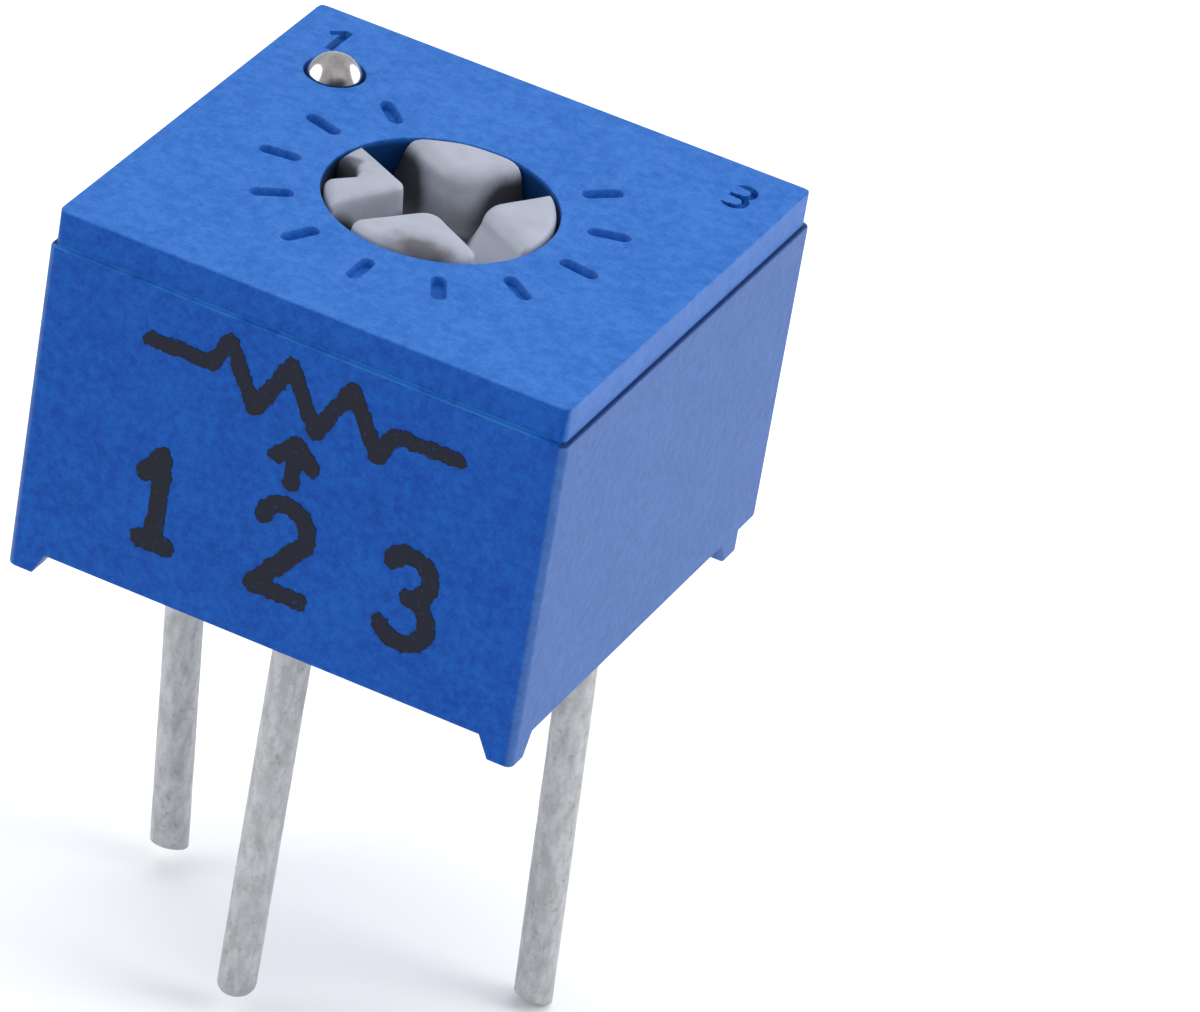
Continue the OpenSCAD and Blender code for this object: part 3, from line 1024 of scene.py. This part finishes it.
def inkPatch(bm, strokes, stroke):
    s = printShape
    xs = [p.x for line in strokes for p in line]
    zs = [p.y for line in strokes for p in line]
    low = Vector((min(xs) - stroke, min(zs) - stroke))
    size = Vector((max(xs) + stroke, max(zs) + stroke)) - low
    cellsAcross, cellsUp = (math.ceil(v / s["cell"]) for v in size)
    place = Matrix.Translation((low.x + size.x / 2, frontY, low.y + size.y / 2))
    place = place @ Matrix.Rotation(math.radians(90), 4, "X")
    made = bmesh.ops.create_grid(bm, x_segments=cellsAcross, y_segments=cellsUp, size=0.5,
                                 matrix=place @ Matrix.Diagonal((size.x, size.y, 1, 1)))
    blank = []
    for face in {f for v in made["verts"] for f in v.link_faces}:
        at = face.calc_center_median()
        rough = noise.noise(at * s["ragCoarse"]) * s["rag"]
        rough += noise.noise(at * s["ragFine"]) * s["rag"] * s["ragFineShare"]
        if gapTo(at.xz, strokes) > stroke / 2 + rough:
            blank.append(face)
    bmesh.ops.delete(bm, geom=blank, context="FACES")


def buildPrint():
    s = printShape
    bm = bmesh.new()
    inkPatch(bm, symbolStrokes(), s["symbolStroke"])
    inkPatch(bm, digitStrokes(), s["digitStroke"])
    for _ in range(s["smoothings"]):
        edge = [v for v in bm.verts if v.is_boundary]
        bmesh.ops.smooth_vert(bm, verts=edge, factor=0.5, use_axis_x=True, use_axis_z=True)
    bmesh.ops.translate(bm, vec=(0, -s["proud"], 0), verts=bm.verts)
    bmesh.ops.recalc_face_normals(bm, faces=bm.faces)
    back = [f for f in bm.faces if f.normal.y > 0]
    bmesh.ops.reverse_faces(bm, faces=back)
    bmesh.ops.solidify(bm, geom=bm.faces[:], thickness=s["proud"] + s["sunk"])
    keepPiece("frontPrint", bm, "case", "blackInk", (), s["smooth"])


buildPrint()


# Nodes that keep their own mesh

kept = {
    "rotor_seal": "sealRubber",
    "contact_spring": "springAlloy",
    "ceramic_base": "alumina",
    "resistive_track": "cermet",
    "collector_pad": "silverInk",
    "end_pad_1": "silverInk",
    "end_pad_3": "silverInk",
    "solder_joint_1": "solder",
    "solder_joint_2": "solder",
    "solder_joint_3": "solder",
    "epoxy_seal": "pottingResin",
}

for node, finish in kept.items():
    materials = nodes[node].data.materials
    materials.clear()
    materials.append(finishes[finish])
print("kept nodes dressed:", len(kept))


# Studio

studio = {
    "floor": 600,
    "floorSides": 96,
    "sky": (0.96, 0.98, 1.0, 1),
    "skyStrength": 0.75,
    "lamps": {  # azimuth and elevation in degrees, distance, size, power in watts
        "topLight": (190, 72, 400, 600, 1.09),
        "rightLight": (104, 36, 300, 150, 0.26),
        "leftLight": (-58, 36, 300, 150, 0.13),
    },
    "cards": {  # they show in gloss only
        "leftCard": (-66, 14, 300, 340, 0.85),
        "rightCard": (138, 14, 300, 290, 0.70),
    },
    "azimuth": 21.529,  # the camera's, in degrees
    "elevation": 31.840,
    "roll": 9.988,
    "distance": 103.0,
    "target": (2.216, 1.285, 0.916),
    "lens": 249.6,
    "sensor": 36,
    "nearest": 0.01,  # metres
    "farthest": 10,
}


def paperFinish():
    f = Finish("paper")
    fibre = f.noise(8, 3, 0.5)
    f.shape(Base_Color=f.mix(fibre, (0.94, 0.94, 0.94), (0.97, 0.97, 0.97)), Roughness=0.9)
    f.bump((fibre, 0.02, 0.1))
    return f.material


def buildFloor():
    bm = bmesh.new()
    radius = studio["floor"] * mm
    bmesh.ops.create_circle(bm, cap_ends=True, segments=studio["floorSides"], radius=radius)
    bmesh.ops.translate(bm, vec=(0, 0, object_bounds()[0].z), verts=bm.verts)
    mesh = bpy.data.meshes.new("floor")
    bm.to_mesh(mesh)
    bm.free()
    mesh.materials.append(paperFinish())
    floor = bpy.data.objects.new("floor", mesh)
    bpy.context.scene.collection.objects.link(floor)


def buildWorld():
    world = bpy.data.worlds.new("studioSky")
    world.use_nodes = True
    sky = world.node_tree.nodes["Background"]
    sky.inputs["Color"].default_value = studio["sky"]
    sky.inputs["Strength"].default_value = studio["skyStrength"]
    bpy.context.scene.world = world


def wayTo(azimuth, elevation):  # from the object, with 0 at its front
    a, e = math.radians(azimuth), math.radians(elevation)
    return Vector((math.sin(a) * math.cos(e), -math.cos(a) * math.cos(e), math.sin(e)))


def buildLamp(name, azimuth, elevation, distance, size, power, glossOnly):
    back = wayTo(azimuth, elevation)
    light = bpy.data.lights.new(name, "AREA")
    light.shape = "DISK"
    light.size = size * mm
    light.energy = power
    lamp = bpy.data.objects.new(name, light)
    lamp.location = back * distance * mm
    lamp.rotation_mode = "QUATERNION"
    lamp.rotation_quaternion = (-back).to_track_quat("-Z", "Y")
    lamp.visible_diffuse = not glossOnly
    lamp.visible_glossy = glossOnly
    bpy.context.scene.collection.objects.link(lamp)


def buildCamera():
    s = studio
    back = wayTo(s["azimuth"], s["elevation"])
    view = bpy.data.cameras.new("camera")
    view.lens = s["lens"]
    view.sensor_width = s["sensor"]
    view.clip_start = s["nearest"]
    view.clip_end = s["farthest"]
    camera = bpy.data.objects.new("camera", view)
    camera.location = (Vector(s["target"]) + back * s["distance"]) * mm
    camera.rotation_mode = "QUATERNION"
    facing = (-back).to_track_quat("-Z", "Y").to_matrix()
    roll = Matrix.Rotation(math.radians(s["roll"]), 3, "Z")
    camera.rotation_quaternion = (facing @ roll).to_quaternion()
    bpy.context.scene.collection.objects.link(camera)
    bpy.context.scene.camera = camera


buildFloor()
buildWorld()
for name, values in studio["lamps"].items():
    buildLamp(name, *values, glossOnly=False)
for name, values in studio["cards"].items():
    buildLamp(name, *values, glossOnly=True)
buildCamera()
bpy.context.scene.view_settings.view_transform = "Standard"
print("studio ready")
